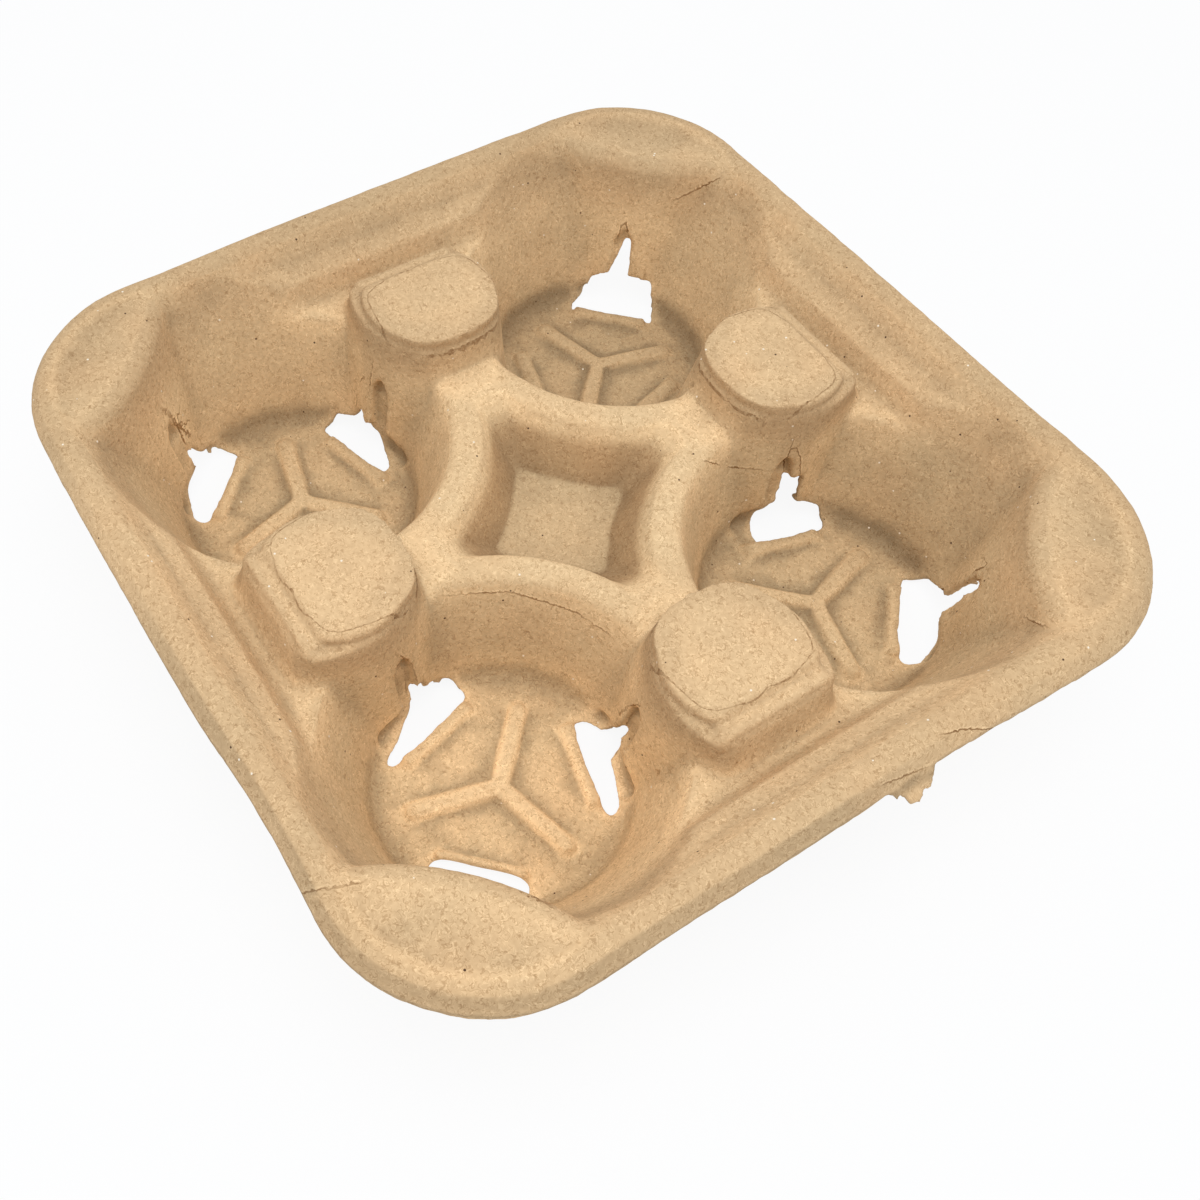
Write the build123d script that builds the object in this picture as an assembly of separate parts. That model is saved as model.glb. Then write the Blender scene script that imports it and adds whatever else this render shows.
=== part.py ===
import os
from math import cos, radians, sqrt, tan

from build123d import *

# Four-cup carrier pressed from paper pulp in one piece. Sizes in mm, +Z up, the
# origin under the middle, on the plane of the four cup floors. The sheet is the
# space between two forms of the same shape: the upper face, and the underside one
# wall thickness within it.

# Sheet and outline
side = 215.0
height = 47.3
wall = 1.8
corner_radius = 38.5
lip_drop = 6.5

# Across a side, from the channel out over the step and the shelf to the rim
deck_height = 30.8
channel_edge = 88.9
step_edge = 91.2
step_height = 37.9
shelf_edge = 95.9
shelf_height = 41.5
rim_inner = 99.0
crest_shoulder = 3.2
crest_width = 3.4

# Cup wells
cup_offset = 51.0
floor_radius = 31.0
well_draft = 20.8
well_round = 3.5

# Ridges round the wells and the recess between them
ridge_round = 3.4
flank_radius = 49.2
flank_draft = 31.5
recess_reach = 36.4
recess_floor_reach = 19.5
recess_floor = 15.8

# Posts between neighbouring wells, with a ledge and a pad on top
grip_draft = 8.0
pad_height = 42.8
pad_outer = 76.4
pad_inner = 48.5
pad_half = 16.3
pad_end_half = 14.6
nose_half = 9.5
nose_depth = 2.0
pad_margin = 1.2
pad_corner = 4.0
pad_edge = 0.8
ledge_height = 40.0
ledge_edge = 81.4
ledge_foot = 85.6

# Posts in the four corners
corner_grip = 36.8
corner_arc = 66.0
corner_drop = 1.3
corner_round = 4.0

# Ribs on the cup floors
rib_length = 24.5
rib_width = 6.0
rib_rise = 2.0
rib_draft = 20.0

# Openings at the feet of the posts, with a strip along each and an arch above it
slot_chord = 23.3
slot_half = 12.0
slot_side = 5.0
slot_shoulder = 8.2
slit_half = 2.2
slit_top = 17.0
strip_width = 4.8
arch_half = 2.8
arch_top = 25.5
arch_depth = 1.4

# Values that follow from those above
half = side / 2
corner_centre = half - corner_radius
soft = wall + 0.5
well_slope = tan(radians(well_draft))
grip_slope = tan(radians(grip_draft))
well_centre = Pos(cup_offset, -cup_offset, 0)
bury = 1.0
below = -5.0
above = height + 5.0


def quarters(form):
    """The same form on all four quarters."""
    return [Rot(0, 0, 90 * turn) * form for turn in range(4)]


def round_each_well(form, first):
    """The same form three times round every well, from the first direction on."""
    three = [well_centre * Rot(0, 0, first + 120 * turn) * form for turn in range(3)]
    return [copy for one in three for copy in quarters(one)]


def bent(points, radius, inset):
    """Line through the points, its bends soft on the upper face and sharp underneath."""
    return Polyline(*points) if inset else FilletPolyline(*points, radius=radius)


def rim_section(inset):
    """Section across one side: channel, step, shelf, rim crest and outer face."""
    inner = channel_edge - 5
    low = below - 2 * inset
    points = [
        (inner, deck_height),
        (channel_edge, deck_height),
        (step_edge, step_height),
        (shelf_edge, shelf_height),
        (rim_inner, height - crest_shoulder / 3),
        (half - crest_shoulder - crest_width, height),
        (half - crest_shoulder, height),
        (half, height - crest_shoulder),
        (half, low),
    ]
    close = Polyline((half, low), (inner, low), (inner, deck_height))
    section = make_face(bent(points, soft, inset) + close)
    if inset:
        section = offset(section, amount=-inset, kind=Kind.INTERSECTION)
    return Plane((corner_centre, 0, 0), x_dir=(0, -1, 0), z_dir=(-1, 0, 0)) * section


def rim(inset):
    """Straight sides and turned corners of the rim, with its steps."""
    section = rim_section(inset)
    straight = extrude(section, amount=2 * corner_centre)
    turned = revolve(section, Axis((corner_centre, -corner_centre, 0), (0, 0, 1)), revolution_arc=90)
    return quarters(straight) + quarters(turned)


def deck(inset):
    """Plate inside the rim, level with the tops of the ridges."""
    reach = channel_edge - 3
    plan = RectangleRounded(2 * reach, 2 * reach, reach - corner_centre)
    low = below - inset
    return Pos(0, 0, low) * extrude(plan, amount=deck_height - inset - low)


def well(grow):
    """Hollow of one cup: round floor, soft corner, flaring wall."""
    floor = wall - grow
    spread = grow / cos(radians(well_draft))
    foot = floor_radius + spread - grow * well_slope
    mouth = floor_radius + spread + (above - wall) * well_slope
    path = FilletPolyline((0, floor), (foot, floor), (mouth, above), radius=well_round + grow)
    close = Polyline((mouth, above), (0, above), (0, floor))
    return well_centre * revolve(Plane.XZ * make_face(path + close), Axis.Z)


def ridge_rounding():
    """What is taken off the deck's edge along a well, where it faces the middle."""
    crest = floor_radius + (deck_height - wall) * well_slope
    low = deck_height - 3 * ridge_round
    foot = floor_radius + (low - wall) * well_slope
    turn = 1.1 * ridge_round * tan(radians(90 - well_draft) / 2)
    path = FilletPolyline((foot, low), (crest, deck_height), (crest + turn, deck_height), radius=ridge_round)
    close = Polyline(
        (crest + turn, deck_height),
        (crest + turn, deck_height + bury),
        (foot - bury, deck_height + bury),
        (foot - bury, low),
        (foot, low),
    )
    ring = revolve(Plane.XZ * make_face(path + close), Axis.Z, revolution_arc=120)
    return well_centre * Rot(0, 0, 75) * ring


def flank(shrink):
    """Cone round one well that leaves a concave wall of the recess."""
    low = recess_floor - wall - bury
    top = deck_height - shrink
    upper = flank_radius - shrink
    foot = upper + (top - low) * tan(radians(flank_draft))
    path = bent([(foot, low), (upper, top), (0, top)], ridge_round, shrink)
    close = Polyline((0, top), (0, low), (foot, low))
    return well_centre * revolve(Plane.XZ * make_face(path + close), Axis.Z)


def recess(grow):
    """Star-shaped hollow in the middle."""
    floor = recess_floor - grow
    top = deck_height + bury
    floor_reach = recess_floor_reach + grow / 2
    slope = (recess_reach - recess_floor_reach) / (deck_height - recess_floor)
    mouth = floor_reach + (top - floor) * slope
    low_plan = RectangleRounded(2 * floor_reach, 2 * floor_reach, soft)
    high_plan = RectangleRounded(2 * mouth, 2 * mouth, soft)
    hollow = loft([Pos(0, 0, floor) * low_plan, Pos(0, 0, top) * high_plan], ruled=True)
    return hollow - quarters(flank(grow))


def post_plan(inset, spread, outer):
    """Plan of a post: straight outer edge, bulging sides, blunt nose to the middle."""
    more = spread - inset
    end = outer - inset
    nose = pad_inner - more
    brow = nose + nose_depth
    widest = (outer + 2 * pad_inner) / 3
    edge = Line((-pad_end_half - more, -end), (pad_end_half + more, -end))
    right = ThreePointArc((pad_end_half + more, -end), (pad_half + more, -widest), (nose_half + more, -brow))
    front = ThreePointArc((nose_half + more, -brow), (0, -nose), (-nose_half - more, -brow))
    left = ThreePointArc((-nose_half - more, -brow), (-pad_half - more, -widest), (-pad_end_half - more, -end))
    plan = make_face(edge + right + front + left)
    return fillet(plan.vertices(), pad_corner)


def eased(form, inset):
    """The form with its top edge broken, except on the underside."""
    return form if inset else chamfer(form.faces().sort_by(Axis.Z)[-1].edges(), pad_edge)


def ledge_wall(inset):
    """Sloping wall from a post's ledge down to the channel."""
    top = ledge_height - inset - pad_edge
    low = deck_height - inset - bury
    slope = (ledge_foot - ledge_edge) / (ledge_height - deck_height)
    run = (top - low) * slope
    back = (pad_inner + pad_outer) / 2
    reach = ledge_edge + pad_edge * slope - inset - back
    upper = 2 * (pad_end_half + pad_margin - inset)
    high_plan = Rectangle(upper, reach, align=(Align.CENTER, Align.MAX))
    low_plan = Rectangle(upper + run, reach + run, align=(Align.CENTER, Align.MAX))
    high_plan = Pos(0, -back, top) * fillet(high_plan.vertices(), pad_corner)
    low_plan = Pos(0, -back, low) * fillet(low_plan.vertices(), pad_corner)
    return loft([low_plan, high_plan], ruled=True)


def pad_post(inset):
    """Post between two wells, with the ledge on its outer side and the pad on top."""
    low = wall - inset - bury
    top = ledge_height - inset
    tower_plan = Pos(0, 0, top) * post_plan(inset, pad_margin, ledge_edge)
    tower = extrude(tower_plan, amount=-(top - low), taper=-grip_draft)
    pad_plan = Pos(0, 0, top - bury) * post_plan(inset, 0, pad_outer)
    pad = extrude(pad_plan, amount=pad_height - ledge_height + bury)
    return eased(tower, inset) + eased(pad, inset) + ledge_wall(inset)


def corner_post(inset):
    """Post in a corner: bulging wall toward the well, soft shoulder, top inside the rim."""
    low = wall - inset - bury
    top = height - corner_drop - inset
    centre = sqrt(2) * cup_offset + corner_grip + corner_arc
    upper = corner_arc - inset
    foot = upper + (top - low) * grip_slope
    path = bent([(foot, low), (upper, top), (0, top)], corner_round, inset)
    close = Polyline((0, top), (0, low), (foot, low))
    cone = revolve(Plane.XZ * make_face(path + close), Axis.Z)
    limit = half - crest_shoulder - inset
    plan = RectangleRounded(2 * limit, 2 * limit, limit - corner_centre)
    inside = Pos(0, 0, low - bury) * extrude(plan, amount=above)
    return (Rot(0, 0, -45) * Pos(centre, 0, 0) * cone) & inside


def arch(grow):
    """Pointed channel pressed into a post's wall above its opening."""
    reach = arch_half + grow
    top = arch_top - wall + grow
    shoulder = top - 2 * reach
    bulge = shoulder + 1.1 * reach
    right = ThreePointArc((reach, shoulder), (0.72 * reach, bulge), (0, top))
    left = ThreePointArc((0, top), (-0.72 * reach, bulge), (-reach, shoulder))
    foot = Polyline((-reach, shoulder), (-reach, 0), (reach, 0), (reach, shoulder))
    depth = arch_depth + grow / cos(radians(grip_draft))
    lean = Vector(-1, 0, grip_slope).normalized()
    along_wall = Plane((floor_radius + depth, 0, wall), x_dir=(0, -1, 0), z_dir=lean)
    return extrude(along_wall * make_face(right + left + foot), amount=3 * arch_depth + grow)


def rib(inset):
    """One arm of the three-armed rib on a cup floor, hollow underneath."""
    low = wall - inset - bury
    width = rib_width / 3 if inset else rib_width
    plan = SlotOverall(rib_length + width / 2, width)
    arm = extrude(plan, amount=rib_rise + bury, taper=0 if inset else rib_draft)
    return Pos((rib_length - width / 2) / 2, 0, low) * arm


def strip(inset):
    """Raised strip along the floor side of an opening, hollow underneath."""
    low = wall - inset - bury
    plan = Rectangle(strip_width + 2 - inset, 2 * (slot_half - inset), align=(Align.MAX, Align.CENTER))
    raised = extrude(plan, amount=rib_rise + bury, taper=0 if inset else rib_draft)
    return Pos(slot_chord + 2, 0, low) * raised


def opening():
    """Opening at a post's foot, through floor and wall, with a slit up the wall."""
    outline = Polyline(
        (slot_half, -bury),
        (slot_half, slot_side),
        (slit_half, slot_shoulder),
        (slit_half, slit_top - 2 * slit_half),
        (0, slit_top),
    )
    edge = outline + mirror(outline, about=Plane.YZ) + Line((-slot_half, -bury), (slot_half, -bury))
    outward = Plane((slot_chord, 0, 0), x_dir=(0, 1, 0), z_dir=(1, 0, 0))
    return extrude(outward * make_face(edge), amount=floor_radius + 6 - slot_chord)


def upper_form(inset):
    """Everything under the upper face, or under the underside when it is inset."""
    body = deck(inset) + rim(inset)
    hollows = quarters(well(inset)) + [recess(inset)]
    if not inset:
        hollows += quarters(ridge_rounding())
    body = body - hollows
    body = body + (quarters(pad_post(inset)) + quarters(corner_post(inset)))
    body = body - round_each_well(arch(inset), -45)
    return body + (round_each_well(rib(inset), 15) + round_each_well(strip(inset), -45))


def skirt():
    """What lies below the lip round the outside."""
    outer = RectangleRounded(side + 2, side + 2, corner_radius + 1)
    inner = RectangleRounded(side - 2 * wall, side - 2 * wall, corner_radius - wall)
    return Pos(0, 0, 2 * below) * extrude(outer - inner, amount=height - lip_drop - 2 * below)


carrier = upper_form(0) - upper_form(wall)
carrier = carrier - skirt()
carrier = carrier - round_each_well(opening(), -45)

os.makedirs("parts", exist_ok=True)
export_step(carrier, "parts/cup_carrier.step")
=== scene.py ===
from itertools import product
from math import cos, radians, sin

import bmesh
import bpy
import numpy as np
from mathutils import Matrix, Vector, noise
from mathutils.geometry import interpolate_bezier


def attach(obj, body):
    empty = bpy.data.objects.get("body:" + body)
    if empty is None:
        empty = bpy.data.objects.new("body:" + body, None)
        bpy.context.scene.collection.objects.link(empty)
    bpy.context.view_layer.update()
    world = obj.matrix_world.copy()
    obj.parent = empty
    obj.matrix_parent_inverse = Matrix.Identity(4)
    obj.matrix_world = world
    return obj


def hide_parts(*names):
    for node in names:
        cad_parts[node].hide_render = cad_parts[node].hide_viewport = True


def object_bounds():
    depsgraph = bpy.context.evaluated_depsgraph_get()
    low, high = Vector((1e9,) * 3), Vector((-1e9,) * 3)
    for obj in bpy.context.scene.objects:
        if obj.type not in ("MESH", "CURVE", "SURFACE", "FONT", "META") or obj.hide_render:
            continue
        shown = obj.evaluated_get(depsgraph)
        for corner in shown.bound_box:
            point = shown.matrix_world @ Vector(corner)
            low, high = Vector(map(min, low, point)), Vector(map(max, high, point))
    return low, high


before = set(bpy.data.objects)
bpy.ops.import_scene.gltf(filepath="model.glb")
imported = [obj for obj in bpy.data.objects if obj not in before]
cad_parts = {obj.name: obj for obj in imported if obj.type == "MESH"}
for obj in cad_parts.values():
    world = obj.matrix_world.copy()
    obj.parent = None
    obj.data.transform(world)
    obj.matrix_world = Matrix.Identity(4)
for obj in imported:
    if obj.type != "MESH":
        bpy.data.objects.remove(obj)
cad_low, cad_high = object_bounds()
scene = bpy.context.scene
mm = 0.001


# The tray is one sheet of unbleached paper pulp, pressed wet over a mould and dried, so no
# edge is sharp and no face quite even. It is the CAD solid with its twelve openings filled
# and torn again as on this used one, then meshed finely, softened, warped and roughened.
well_offset = 51
floor_edge = 31
wall_lean = 0.14
openings = list(product(range(4), range(3)))
noise.seed_set(1)


def place(well, slot, across, out, up):
    """Point at one opening of a well: across it, out from the well's axis, and up, in mm."""
    turn = radians(90 * well - 45)
    aim = turn + radians(120 * slot)
    x = well_offset * 2 ** 0.5 * cos(turn) + out * cos(aim) - across * sin(aim)
    y = well_offset * 2 ** 0.5 * sin(turn) + out * sin(aim) + across * cos(aim)
    return Vector((x, y, up)) * mm


def prism(into, near, far):
    """Closed prism between two like outlines."""
    first = [into.verts.new(point) for point in near]
    last = [into.verts.new(point) for point in far]
    sides = [(first[i - 1], first[i], last[i], last[i - 1]) for i in range(len(first))]
    faces = [into.faces.new(corners) for corners in (first, last, *sides)]
    bmesh.ops.recalc_face_normals(into, faces=faces)
    bmesh.ops.triangulate(into, faces=faces[:2])


def ragged(outline, bite, seed):
    """The outline in short strides, each end pushed a little aside like torn fibre."""
    stride = 0.8
    waves = 0.7
    points = []
    for start, end in zip(outline, outline[1:] + outline[:1]):
        start = Vector(start)
        span = Vector(end) - start
        steps = max(1, round(span.length / stride))
        for step in range(steps):
            point = start + span * step / steps
            push = noise.noise_vector((point.x * waves, point.y * waves, seed))
            points.append(point + bite * push.xy)
    return points


def solid(name, form):
    """Object from a finished form."""
    made = bpy.data.objects.new(name, bpy.data.meshes.new(name))
    form.to_mesh(made.data)
    form.free()
    scene.collection.objects.link(made)
    return made


sheet = bmesh.new()
sheet.from_mesh(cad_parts["cup_carrier"].data)
bmesh.ops.remove_doubles(sheet, verts=sheet.verts, dist=0.002 * mm)

# Fillings of the clean openings: the foot of the wall, the arch above it, and the floor.
low_wall = [(-12.5, 0.4), (12.5, 0.4), (12.5, 5.6), (2.8, 8.8), (-2.8, 8.8), (-12.5, 5.6)]
arch_skin = [(-3.2, 7.5), (3.2, 7.5), (3.2, 18.5), (-3.2, 18.5)]
floor_skin = [(-12.4, 22.8), (12.4, 22.8), (12.4, 32), (-12.4, 32)]
for well, slot in openings:
    for skin, back, depth in ((low_wall, 0, 1.8), (arch_skin, 0.4, 1.6)):
        inner_foot = floor_edge + back
        outer_foot = inner_foot + depth
        near = [place(well, slot, w, inner_foot + wall_lean * z, z) for w, z in skin]
        far = [place(well, slot, w, outer_foot + wall_lean * z, z) for w, z in skin]
        prism(sheet, near, far)
    near, far = ([place(well, slot, w, r, z) for w, r in floor_skin] for z in (0.02, 1.78))
    prism(sheet, near, far)

# The pads on the four posts have a crisper edge than the rest, and a ledge behind them.
pad_foot = 38.5
pad_top = 42.7
pad_nose = -47.7
ledge = [(-14.5, -74.5), (14.5, -74.5), (14.5, -80.6), (-14.5, -80.6)]
ledge_top = 41.2
for quarter in range(4):
    aim = Matrix.Rotation(radians(90 * quarter), 4, "Z")
    skins = []
    for spread, z in ((0.35, pad_foot), (-0.15, pad_top)):
        side_end = Vector((15.8 + spread, -72, z)) * mm
        bulge = Vector((18.6 + spread, -55, z)) * mm
        brow = Vector((14, pad_nose - spread, z)) * mm
        nose = Vector((0, pad_nose - spread, z)) * mm
        flank = interpolate_bezier(side_end, bulge, brow, nose, 14)
        other = [Vector((-point.x, point.y, point.z)) for point in flank[-2::-1]]
        skins.append([aim @ point for point in flank + other])
    prism(sheet, *skins)
    skins = [[aim @ Vector((x, y, z)) * mm for x, y in ledge] for z in (pad_foot, ledge_top)]
    prism(sheet, *skins)

# A flap of torn pulp hangs from the right-hand rim: along the rim, and out from it.
flap = [
    (5, 0), (6.5, 3.6), (8.5, 3.4), (9, 6.6), (11.5, 7.2),
    (13.5, 5), (15.5, 5.6), (17.5, 3), (18, 0),
]
skins = [
    [Vector((106 + 0.82 * s + 0.5 * skin, y, 42.8 - 0.5 * s + 0.9 * skin)) * mm
     for y, s in ragged(flap, 0.7, 40)]
    for skin in (0, 1)
]
prism(sheet, *skins)
tray = solid("cup_tray", sheet)

# Upper edge of each tear, left to right as seen from its well: across, and out over the
# floor and on up the wall, from one fold short of the wall's foot. The inner edge, on the
# floor, is measured in the same way.
fold = 10
clean_tear = [(-12, 6), (-12, 15), (-2.2, 18), (0, 26), (2.2, 18), (12, 15), (12, 6)]
narrow_tear = [(-12, 10), (-12, 15), (-2.2, 18), (0, 26), (2.2, 18), (12, 15), (12, 10)]
tears = {
    (0, 1): [(-15, 3), (-12, 6), (0, 8), (1.8, 11), (2.2, 21.5), (3.2, 22), (8, 8.5), (11.5, 6)],
    (0, 2): [
        (-13.5, 9), (-6, 14.5), (-6, 19), (-3.2, 21.6), (-2, 19.5),
        (-1.5, 11), (8, 6.5), (14, 4),
    ],
    (1, 0): [(-12, 7), (-3, 12.8), (2.6, 16), (1.2, 31), (3.2, 34), (7, 18), (12.5, 15), (15, 8)],
    (1, 1): [
        (-15, 9), (-12.5, 14), (-7.5, 16), (-7.6, 18), (-7, 27),
        (-2.4, 27.4), (-2, 17.5), (3, 13), (5.5, 7.5),
    ],
    (2, 0): [
        (-13, 5), (-11, 19), (-3, 20.5), (-2, 31), (-0.9, 32.5),
        (1.2, 25), (3, 20.5), (8, 18), (12.5, 5),
    ],
    (2, 1): narrow_tear,
    (2, 2): narrow_tear,
    (3, 0): [(-13, 9), (-5.5, 19.5), (-2.8, 25), (-2.8, 15), (-1.5, 13), (4, 11.5), (12, 6.5)],
    (3, 2): [(-8, 6), (3.5, 13), (7, 21), (10.5, 15), (14.5, 14), (16, 8)],
}
usual_inner_edge = 1.6
inner_edges = {(0, 0): -0.4, (2, 1): 8.7, (2, 2): 8.7}
cuts = bmesh.new()
for well, slot in openings:
    upper = tears.get((well, slot), clean_tear)
    left, right = upper[0][0], upper[-1][0]
    inner = inner_edges.get((well, slot), usual_inner_edge)
    lower = [(right, inner + 1), (right / 2, inner), (left / 2, inner), (left, inner + 1)]
    outline = ragged(upper + lower, 0.5, 7 * well + slot)
    start = floor_edge - fold
    near, far = ([place(well, slot, w, start + s, z) for w, s in outline] for z in (-3, 4.6))
    prism(cuts, near, far)
    near, far = ([place(well, slot, w, r, s - fold) for w, s in outline] for r in (27.5, 41))
    prism(cuts, near, far)
cuts = solid("cuts", cuts)

tear = tray.modifiers.new("tear", "BOOLEAN")
tear.operation = "DIFFERENCE"
tear.object = cuts
tear.solver = "EXACT"
tear.use_self = True
mesh_finely = tray.modifiers.new("mesh_finely", "REMESH")
mesh_finely.mode = "VOXEL"
mesh_finely.voxel_size = 0.7 * mm
soften = tray.modifiers.new("soften", "SMOOTH")
soften.factor = 0.5
soften.iterations = 2


def applied(piece):
    """The piece's mesh, after its modifiers are applied."""
    depsgraph = bpy.context.evaluated_depsgraph_get()
    mesh = bpy.data.meshes.new_from_object(piece.evaluated_get(depsgraph))
    piece.modifiers.clear()
    piece.data = mesh
    return mesh


tray_mesh = applied(tray)
bpy.data.objects.remove(cuts)


def unevenness(points, hump, seed):
    """Smooth wander between -1 and 1 whose humps are about one hump's length apart."""
    lattice = np.random.default_rng(seed).uniform(-1, 1, (64, 64, 64))
    cell = points / hump
    low = np.floor(cell).astype(int)
    part = cell - low
    part = part * part * (3 - 2 * part)
    total = np.zeros(len(points))
    for corner in product((0, 1), repeat=3):
        share = np.where(corner, part, 1 - part).prod(axis=1)
        at = (low + corner) % 64
        total += share * lattice[at[:, 0], at[:, 1], at[:, 2]]
    return total


def coordinates(mesh, field):
    """Places or normals of all vertices as rows."""
    flat = np.empty(3 * len(mesh.vertices))
    mesh.vertices.foreach_get(field, flat)
    return flat.reshape(-1, 3)


def middles(mesh):
    """Function that moves every row to the middle of its neighbours along the mesh's edges."""
    ends = np.empty(2 * len(mesh.edges), int)
    mesh.edges.foreach_get("vertices", ends)
    one, other = ends[::2], ends[1::2]
    count = len(mesh.vertices)
    share = np.bincount(ends, minlength=count)
    return lambda rows: np.stack([
        (np.bincount(one, row[other], count) + np.bincount(other, row[one], count)) / share
        for row in rows.T
    ], axis=1)


def fade(value, none, full):
    """Share that grows from 0 where the value is none to 1 where it is full."""
    return np.clip((value - none) / (full - none), 0, 1)


# Wet pulp fills the hollows of the mould, so they are rounder than the edges. The arches
# over the openings stay as they are, and the floors are smoothed a little all over.
points = coordinates(tray_mesh, "co")
normals = coordinates(tray_mesh, "normal")
middle = middles(tray_mesh)
height = points[:, 2] / mm
softness = fade(height, 6, 10) * fade(height, 39, 36)
for well, slot in openings:
    arch = np.array(place(well, slot, 0, 34, 16)) / mm
    apart = (points / mm - arch) / (7, 7, 13)
    softness *= np.clip(np.linalg.norm(apart, axis=1) - 0.4, 0, 1)
at_corner = fade(np.abs(points[:, :2]).min(axis=1) / mm, 60, 68)
softness = np.maximum(softness, 0.7 * at_corner * fade(height, 30, 36))
moved = points.copy()
for _ in range(60):
    lift = ((middle(moved) - moved) * normals).sum(axis=1)
    moved += (softness * np.maximum(lift, 0))[:, None] * normals
softness = np.minimum(fade(height, 5.5, 4), 0.5)
for _ in range(8):
    moved += softness[:, None] * (middle(moved) - moved)

swell = 0.2 * unevenness(points, 22 * mm, 1)
swell = swell + 0.1 * unevenness(points, 5 * mm, 2)
swell = swell + 0.05 * unevenness(points, 1.6 * mm, 3)
sway = np.stack([unevenness(points, 60 * mm, seed) for seed in (4, 5, 6)], axis=1)
moved += mm * (swell[:, None] * normals + 0.4 * sway)

# The rim has warped in drying, by these bulges at these bearings, and its lip is frayed.
corner_centre = cad_high.x - 38.5 * mm


def rim_reach(points):
    """Distance of each point out past the centres of the rim's corners, and its direction."""
    past = np.sign(points[:, :2]) * np.maximum(np.abs(points[:, :2]) - corner_centre, 0)
    reach = np.linalg.norm(past, axis=1)
    return reach, past / np.maximum(reach, 1e-9)[:, None]


reach, outward = rim_reach(points)
at_rim = np.clip((reach - 18 * mm) / (20 * mm), 0, 1) ** 2
bearing = np.degrees(np.arctan2(points[:, 1], points[:, 0]))
for bulge_bearing, bulge, spread in ((33, 2.3, 15), (-135, -1.4, 15), (-67, -1.5, 9), (-45, -0.8, 9)):
    apart = (bearing - bulge_bearing + 180) % 360 - 180
    moved[:, :2] += outward * (bulge * mm * at_rim * np.exp(-(apart / spread) ** 2))[:, None]
at_lip = fade(reach / mm, 36.5, 37) * fade(height, 44, 42)
rough_side = 0.4 + 0.8 * fade(points[:, 0], 0, cad_high.x) ** 4
fray = unevenness(points, 5 * mm, 7) + 0.6 * unevenness(points, 2 * mm, 8)
moved[:, 2] += mm * at_lip * rough_side * fray
tray_mesh.vertices.foreach_set("co", moved.ravel())
tray_mesh.update()

most_triangles = 190000
thin = tray.modifiers.new("thin", "DECIMATE")
thin.ratio = min(1, most_triangles / (2 * len(tray_mesh.polygons)))
tray_mesh = applied(tray)
tray_mesh.polygons.foreach_set("use_smooth", np.ones(len(tray_mesh.polygons), bool))

# Tone of the pulp, mostly painted light and shade: lighter or darker by how far each point
# stands out of the sheet around it, finely and broadly, and by which part of the tray it is on.
points = coordinates(tray_mesh, "co")
normals = coordinates(tray_mesh, "normal")
middle = middles(tray_mesh)
smoothed = points.copy()
stands_out = {}
for rounds in range(1, 41):
    smoothed = middle(smoothed)
    if rounds in (6, 40):
        stands_out[rounds] = ((points - smoothed) * normals).sum(axis=1) / mm
fine, crest = stands_out[6], stands_out[40]

x, y, height = points.T / mm
facing_x, facing_y, facing_up = normals.T
along = (y - x) * 0.5 ** 0.5
radius = np.hypot(x, y)
from_well = np.hypot(np.abs(x) - well_offset, np.abs(y) - well_offset)
pad_middle = 66
sideways = np.minimum(np.abs(x), np.abs(y))
inwards = pad_middle - np.maximum(np.abs(x), np.abs(y))
reach, outward = rim_reach(points)
turned_out = (normals[:, :2] * outward).sum(axis=1)
steep = fade(facing_up, 0.96, 0.76)
level = fade(facing_up, 0.6, 0.85)

inside = fade(height, 36, 28)
on_floor = fade(height, 9, 5)
on_top = fade(height, 36, 40)
on_ridge = fade(radius, 60, 54) * level * fade(height, 21, 24) * fade(height, 36, 32)
on_recess = steep * fade(radius, 46, 42) * fade(height, 28, 25) * fade(from_well, 42.5, 44.5)
on_recess_floor = level * fade(radius, 26, 22) * fade(height, 24, 21)
on_right = inside * np.clip(-facing_y, 0, 1) * fade(np.minimum(x, y), 0, 20)
on_front = fade(height, 38, 42) * fade(along, -20, -60)
in_front_well = inside * fade(x, 0, 20) * fade(-y, 0, 20)
front_well_right = in_front_well * np.clip(-facing_x - facing_y, 0, 1)
front_well_back = in_front_well * np.clip(facing_x - facing_y, 0, 1) * fade(height, 8, 12)
by_post = fade(sideways, 24, 20) * fade(np.abs(inwards), 24, 20) * fade(facing_up, 0.7, 0.4)
on_lip = fade(reach / mm, 35, 36) * fade(turned_out, 0.3, 0.6)
lip_shadow_line = on_lip * np.exp(-((height - 42.7) / 0.7) ** 2)
curl_shadow = fade(reach / mm, 32, 33) * np.exp(-((turned_out - 0.7) / 0.16) ** 2)

# Painted light and shade: lighter where the sheet stands out, darker in its hollows and in the
# floors' creases. The thinnest edges turn a little darker, partly their own torn brown and partly
# painted shade.
painted_light_and_tone = np.interp(crest, (-0.8, -0.15, 0, 0.55, 1.2), (0.9, 1, 1, 1.07, 0.9))
painted_light_and_tone *= np.interp(fine, (-0.4, -0.04, 0.05, 0.4), (0.8, 1, 1, 1.07))
painted_light_and_tone *= 1 - on_floor * np.interp(fine, (-0.25, -0.06), (0.2, 0))
# Painted shade: the well floors darker from the front well towards the back one.
floor_painted_shade = np.interp(along, (-72, -20, 20, 50, 95), (1.07, 0.98, 0.81, 0.8, 0.7))
painted_light_and_tone *= 1 + on_floor * (floor_painted_shade - 1)
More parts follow.
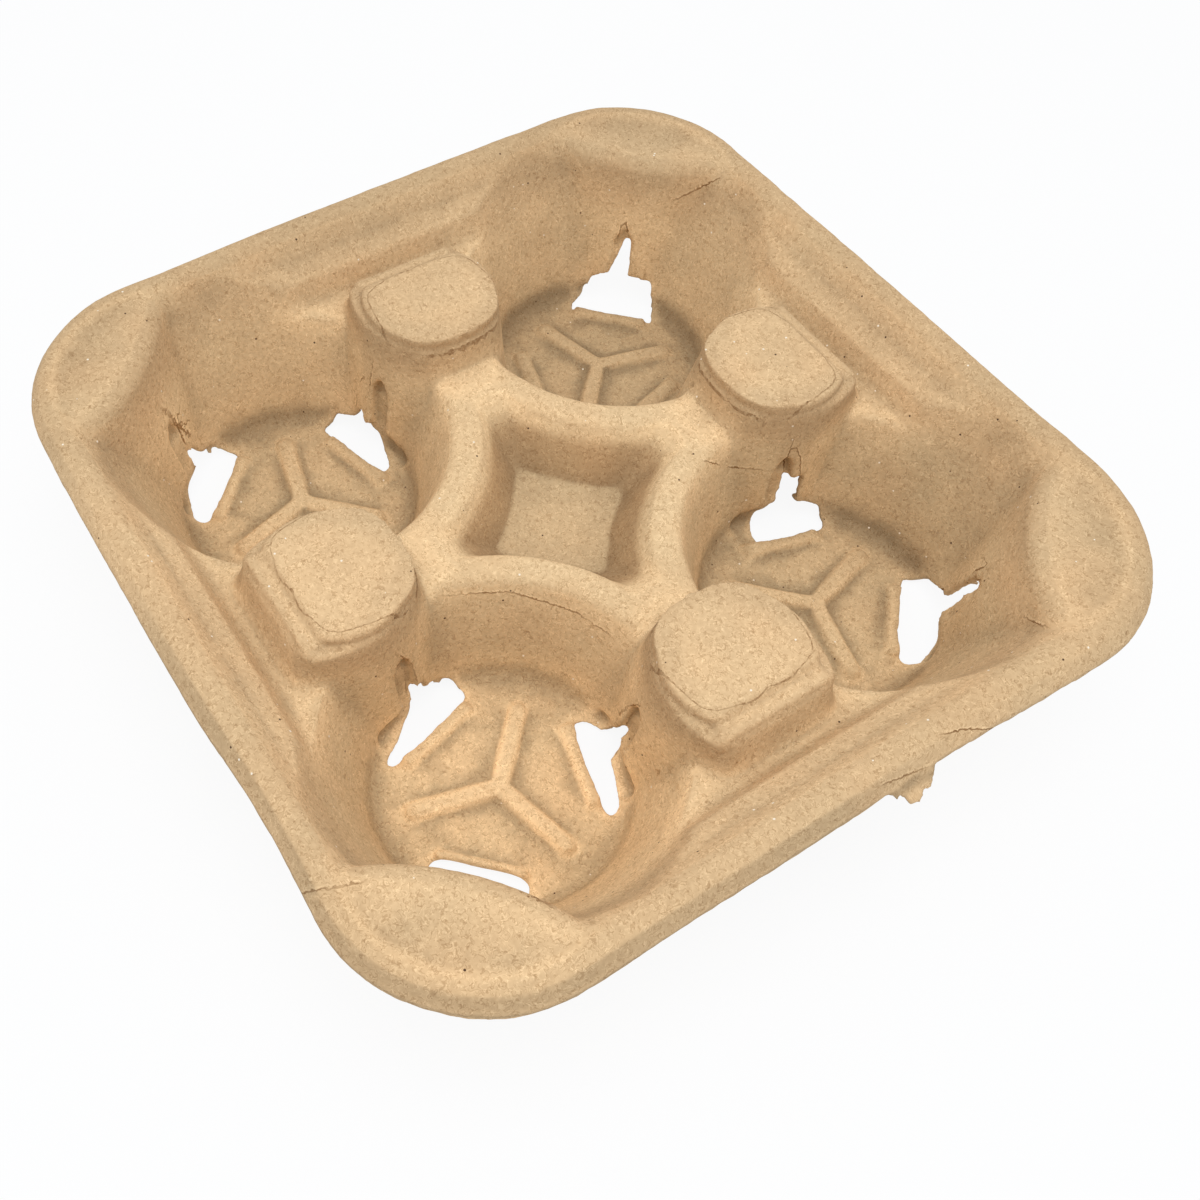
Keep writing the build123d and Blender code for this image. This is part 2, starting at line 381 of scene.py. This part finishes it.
# Painted light and shade by part: the ridges, the front rim and the front well's right wall lighter;
# the recess floor, walls in the right-hand well, the front well's back wall, the walls by the posts
# and the far rims' tops darker.
painted_light_and_tone *= 1 + 0.06 * on_ridge
painted_light_and_tone *= 1 - 0.1 * on_recess_floor
painted_light_and_tone *= 1 - 0.2 * on_right
painted_light_and_tone *= 1 + 0.05 * on_front
painted_light_and_tone *= 1 + 0.22 * front_well_right
painted_light_and_tone *= 1 - 0.14 * front_well_back
painted_light_and_tone *= 1 - 0.12 * by_post
painted_light_and_tone *= 1 - on_top * (0.1 * fade(-x, 50, 90) + 0.05 * fade(y, 50, 90))
# Painted shade under the curl of the front lip, a painted shadow line along the lip, and a painted
# highlight just below it.
painted_light_and_tone *= 1 - 0.22 * curl_shadow * fade(along, -50, -80)
painted_light_and_tone *= 1 - lip_shadow_line * (0.1 + 0.2 * fade(along, -40, -70))
painted_light_and_tone *= 1 + 0.1 * on_lip * fade(height, 41.8, 41.3)
painted_light_and_tone *= 1 + 0.035 * (unevenness(points, 20 * mm, 11) + 0.6 * unevenness(points, 8 * mm, 12))

# The colour the mesh carries: the pulp's tan, lighter inside the wells as painted light and darker on
# the recess walls as painted shade, times the painted light and shade above, with an uneven blush of
# its own.
tan = np.array((0.642, 0.438, 0.239))
painted_light_inside = np.array((0.2, 0.25, 0.28))
painted_shade_recess = np.array((0.38, 0.44, 0.49))
blush = np.array((0.012, -0.01, -0.025))
tone_and_painted_light = tan * (1 + inside[:, None] * painted_light_inside)
tone_and_painted_light *= 1 - on_recess[:, None] * painted_shade_recess
tone_and_painted_light *= painted_light_and_tone[:, None]
tone_and_painted_light *= 1 + unevenness(points, 9 * mm, 13)[:, None] * blush
tone_and_painted_light = np.concatenate([tone_and_painted_light, np.ones((len(tone_and_painted_light), 1))], axis=1)
tray_mesh.attributes.new("tone_and_painted_light", "FLOAT_COLOR", "POINT").data.foreach_set("color", tone_and_painted_light.ravel())

# Hair cracks, creases and the torn arches over the openings run through the sheet along one
# slant. Each point of the mesh gets its distance across the nearest, and how clear that is.
cracks = [
    [(104.5, 22.5, 47), (105.5, 27, 46), (108, 34.5, 42.5)],
    [(64, -106.5, 44.5), (65.5, -103.5, 47), (68, -96.5, 46)],
    [(11.5, 36.5, 30), (12.5, 46.5, 22.5), (17, 53, 22)],
    [(-67.5, 87, 37), (-63, 96, 42.5)],
    [(11, -41.5, 28), (17.5, -27.5, 27), (30, -17, 26), (38, -13.5, 25)],
    [(93.5, 64, 40.5), (100, 61, 46.5)],
    [(86, -70.5, 45), (91, -68, 45.5)],
    [(106, 4, 46), (106.5, 9, 45), (107, 15, 43.5)],
    [(19.5, -58.5, 9.5), (17, -58, 26), (17.5, -55, 18), (18, -54, 10)],
    [(56.5, -18.5, 12), (57, -17, 24), (54, -17, 18.5), (51, -18.5, 4)],
    [(-76, -73, 17), (-77, -74, 27.5), (-79, -71, 19.5), (-79, -69, 11.5)],
    [(-69.5, -22.5, 9.5), (-68, -20.5, 19.5), (-64.5, -18.5, 27), (-65, -20.5, 14)],
    [(-76.5, 74, 23.5), (-76.5, 75, 30), (-74.5, 76, 24)],
    [(19, 61, 18), (18, 60.5, 24), (17.5, 61.5, 28), (19.5, 64.5, 22), (20.5, 65.5, 16.5)],
    [(66, 80.5, 4), (71, 79.5, 22.5), (73.5, 78, 28.5), (73.5, 77, 23)],
]
slant = np.array((0.5, -0.44, 0.75))
slant /= np.linalg.norm(slant)
far_away = 9.0
sheet_depth = 5
nearest = np.full(len(points), far_away)
across_crack = np.full(len(points), far_away)
clear = np.zeros(len(points))
for route in cracks:
    for start, end in zip(route, route[1:]):
        span = np.array(end) - start
        span -= span @ slant * slant
        length = np.linalg.norm(span)
        off = points / mm - start
        through = np.abs(off @ slant)
        forward = off @ span / length
        side = off @ np.cross(slant, span / length)
        beyond = np.maximum(np.maximum(-forward, forward - length), 0)
        apart = np.hypot(side, beyond)
        closer = (apart < nearest) & (through < sheet_depth)
        nearest[closer] = apart[closer]
        across_crack[closer] = side[closer]
        clear[closer] = np.clip(1.4 - beyond[closer], 0, 1)
clear *= np.clip(3 - nearest, 0, 1) * np.clip(0.8 + 0.7 * unevenness(points, 3 * mm, 14), 0, 1)
tray_mesh.attributes.new("across_crack", "FLOAT", "POINT").data.foreach_set("value", across_crack)
tray_mesh.attributes.new("clear", "FLOAT", "POINT").data.foreach_set("value", clear)

# The pads' edges get a fine line of painted shadow, from the distance past their outline.
pad_front = [(0, pad_nose), (14, pad_nose), (18.6, -55), (15.9, -67)]
pad_corner = [(15.9, -67), (15.6, -72), (14, -74.4), (9, -74.6)]
edge = interpolate_bezier(*map(Vector, pad_front), 20)
edge += interpolate_bezier(*map(Vector, pad_corner), 10)[1:]
edge = np.array([*edge, (0, -74.6)]) + (0, pad_middle)
edge_angle = np.arctan2(edge[:, 0], edge[:, 1])
edge_reach = np.interp(np.arctan2(sideways, inwards), edge_angle, np.hypot(*edge.T))
past_pad = np.where(height > 37, np.hypot(sideways, inwards) - edge_reach, far_away)
tray_mesh.attributes.new("past_pad", "FLOAT", "POINT").data.foreach_set("value", past_pad)

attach(tray, "root")
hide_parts("cup_carrier")


# Kraft pulp: warm tan, felted with winding fibres all over, with a few dark and pale specks
# of bark and filler. It is dead matt.
pulp = bpy.data.materials.new("pulp")
pulp.use_nodes = True
nodes, links = pulp.node_tree.nodes, pulp.node_tree.links
surface = nodes["Principled BSDF"]
surface.inputs["Roughness"].default_value = 0.95
surface.inputs["Specular IOR Level"].default_value = 0.1
spot = nodes.new("ShaderNodeTexCoord").outputs["Object"]


def grain(at, scale, detail, distortion):
    """Noise between 0 and 1."""
    made = nodes.new("ShaderNodeTexNoise")
    made.inputs["Scale"].default_value = scale
    made.inputs["Detail"].default_value = detail
    made.inputs["Distortion"].default_value = distortion
    links.new(at, made.inputs["Vector"])
    return made.outputs["Fac"]


def painted(name, output):
    """Value or colour that the mesh carries."""
    made = nodes.new("ShaderNodeAttribute")
    made.attribute_name = name
    return made.outputs[output]


def feed(socket, value):
    """Link another socket to this one, or set it to a number or a colour."""
    if isinstance(value, bpy.types.NodeSocket):
        links.new(value, socket)
    else:
        socket.default_value = value


def reckon(operation, *values):
    """Result of one operation on numbers and sockets."""
    made = nodes.new("ShaderNodeMath")
    made.operation = operation
    for socket, value in zip(made.inputs, values):
        feed(socket, value)
    return made.outputs[0]


def between(value, low, high, at_low, at_high):
    """Value spread over a new range and held at its ends."""
    made = nodes.new("ShaderNodeMapRange")
    made.inputs["From Min"].default_value = low
    made.inputs["From Max"].default_value = high
    made.inputs["To Min"].default_value = at_low
    made.inputs["To Max"].default_value = at_high
    links.new(value, made.inputs["Value"])
    return made.outputs["Result"]


def mix(kind, share, base, over):
    """One colour over another."""
    made = nodes.new("ShaderNodeMix")
    made.data_type = "RGBA"
    made.blend_type = kind
    feed(made.inputs["Factor"], share)
    feed(made.inputs[6], base)
    feed(made.inputs[7], over)
    return made.outputs[2]


felt = grain(spot, 900, 2, 0)
felted = nodes.new("ShaderNodeCombineColor")
for socket, darkest in zip(felted.inputs, (0.92, 0.90, 0.88)):
    links.new(between(felt, 0.3, 0.7, darkest, 1.07), socket)
colour = mix("MULTIPLY", 1, painted("tone_and_painted_light", "Color"), felted.outputs["Color"])

dark_fibre = (0.82, 0.78, 0.74, 1)
pale_fibre = (1.12, 1.14, 1.16, 1)
fibre_width = 0.04
for scale, aside in ((820, 0.31), (1200, 0.73)):
    moved_spot = nodes.new("ShaderNodeVectorMath")
    moved_spot.inputs[1].default_value = (aside, 2 * aside, 3 * aside)
    links.new(spot, moved_spot.inputs[0])
    winding = grain(moved_spot.outputs["Vector"], scale, 0, 0.8)
    pieces = between(grain(moved_spot.outputs["Vector"], 0.7 * scale, 0, 0), 0.43, 0.53, 0, 1)
    for level_line, tint in ((0.43, dark_fibre), (0.57, pale_fibre)):
        stroke = reckon("MULTIPLY", reckon("COMPARE", winding, level_line, fibre_width), pieces)
        colour = mix("MIX", stroke, colour, mix("MULTIPLY", 1, colour, tint))

bark = (0.10, 0.055, 0.03, 1)
filler = (0.85, 0.74, 0.58, 1)
speck_share = 0.32
cell = nodes.new("ShaderNodeTexVoronoi")
cell.inputs["Scale"].default_value = 240
links.new(spot, cell.inputs["Vector"])
lot = nodes.new("ShaderNodeSeparateColor")
links.new(cell.outputs["Color"], lot.inputs["Color"])
speck = reckon("LESS_THAN", cell.outputs["Distance"], 0.065)
for draw, tint in ((lot.outputs["Red"], bark), (lot.outputs["Green"], filler)):
    drawn = reckon("MULTIPLY", speck, reckon("LESS_THAN", draw, speck_share))
    colour = mix("MIX", drawn, colour, tint)

# Cracks have a dark gap of painted shade with one frayed, paler edge. The painted shadow line at the
# pads' edges comes and goes.
frayed_tint = (1.14, 1.16, 1.18, 1)
line_shade_tint = (0.45, 0.36, 0.28, 1)
jagged = between(felt, 0.2, 0.8, -0.35, 0.35)
across = reckon("ADD", painted("across_crack", "Fac"), jagged)
clear_crack = painted("clear", "Fac")
shaded_lines = reckon("MULTIPLY", reckon("COMPARE", across, 0, 0.17), clear_crack)
frayed = reckon("MULTIPLY", reckon("COMPARE", across, 0.42, 0.15), clear_crack)
wavering = between(felt, 0.2, 0.8, -0.15, 0.15)
pad_shadow_line = reckon("COMPARE", reckon("ADD", painted("past_pad", "Fac"), wavering), 0.55, 0.17)
faint_pad_shadow = reckon("MULTIPLY", pad_shadow_line, between(felt, 0.35, 0.6, 0.2, 0.8))
shaded_lines = reckon("MAXIMUM", shaded_lines, faint_pad_shadow)
colour = mix("MIX", frayed, colour, mix("MULTIPLY", 1, colour, frayed_tint))
colour = mix("MIX", shaded_lines, colour, mix("MULTIPLY", 1, colour, line_shade_tint))
links.new(colour, surface.inputs["Base Color"])

bump = nodes.new("ShaderNodeBump")
bump.inputs["Strength"].default_value = 0.6
bump.inputs["Distance"].default_value = 0.3 * mm
links.new(felt, bump.inputs["Height"])
links.new(bump.outputs["Normal"], surface.inputs["Normal"])
tray.data.materials.clear()
tray.data.materials.append(pulp)


# White paper under and behind the tray. The camera sees it almost evenly white, with the
# tray's shadow faint on it.
bpy.ops.mesh.primitive_plane_add(size=6, location=(0, 0, -0.3 * mm))
floor = bpy.context.object
floor.name = "floor"
paper = bpy.data.materials.new("paper")
paper.use_nodes = True
nodes, links = paper.node_tree.nodes, paper.node_tree.links
nodes.clear()
matt = nodes.new("ShaderNodeBsdfDiffuse")
matt.inputs["Color"].default_value = (0.8, 0.8, 0.8, 1)
glow = nodes.new("ShaderNodeEmission")
paper_ray = nodes.new("ShaderNodeLightPath")
glow_share = nodes.new("ShaderNodeMath")
glow_share.operation = "MULTIPLY"
glow_share.inputs[1].default_value = 0.9
paper_look = nodes.new("ShaderNodeMixShader")
paper_output = nodes.new("ShaderNodeOutputMaterial")
links.new(paper_ray.outputs["Is Camera Ray"], glow_share.inputs[0])
links.new(glow_share.outputs[0], paper_look.inputs["Fac"])
links.new(matt.outputs[0], paper_look.inputs[1])
links.new(glow.outputs[0], paper_look.inputs[2])
links.new(paper_look.outputs[0], paper_output.inputs["Surface"])
floor.data.materials.append(paper)


# Soft daylight from all round, with one broad lamp high above the front corner's side, so
# that the tops are lightest and the walls of the wells about equally dark. The camera sees
# plain white in place of the sky.
world = bpy.data.worlds.new("daylight")
scene.world = world
world.use_nodes = True
nodes, links = world.node_tree.nodes, world.node_tree.links
sky = nodes["Background"]
sky.inputs["Color"].default_value = (0.95, 1.0, 1.07, 1)
sky.inputs["Strength"].default_value = 0.82
white = nodes.new("ShaderNodeBackground")
white.inputs["Color"].default_value = (1, 1, 1, 1)
sky_ray = nodes.new("ShaderNodeLightPath")
sky_look = nodes.new("ShaderNodeMixShader")
links.new(sky_ray.outputs["Is Camera Ray"], sky_look.inputs["Fac"])
links.new(sky.outputs[0], sky_look.inputs[1])
links.new(white.outputs[0], sky_look.inputs[2])
links.new(sky_look.outputs[0], nodes["World Output"].inputs["Surface"])

lamp = bpy.data.lights.new("softbox", "AREA")
lamp.shape = "DISK"
lamp.size = 0.5
lamp.energy = 1.55
softbox = bpy.data.objects.new("softbox", lamp)
softbox.location = (0.08, -0.07, 0.6)
towards_tray = Vector((0, 0, 0.03)) - softbox.location
softbox.rotation_euler = towards_tray.to_track_quat("-Z", "Y").to_euler()
scene.collection.objects.link(softbox)


# Camera close above the front corner, as for the photograph. The shift is the photograph's
# own framing.
camera = bpy.data.objects.new("camera", bpy.data.cameras.new("camera"))
camera.location = (0.12995, -0.11443, 0.23854)
camera.rotation_euler = (radians(28.094), radians(-1.33), radians(57.728))
camera.data.lens = 31.36
camera.data.sensor_width = 36
camera.data.shift_x = 0.1042
camera.data.shift_y = 0.0792
camera.data.clip_start = 0.01
scene.collection.objects.link(camera)
scene.camera = camera

scene.view_settings.view_transform = "Standard"
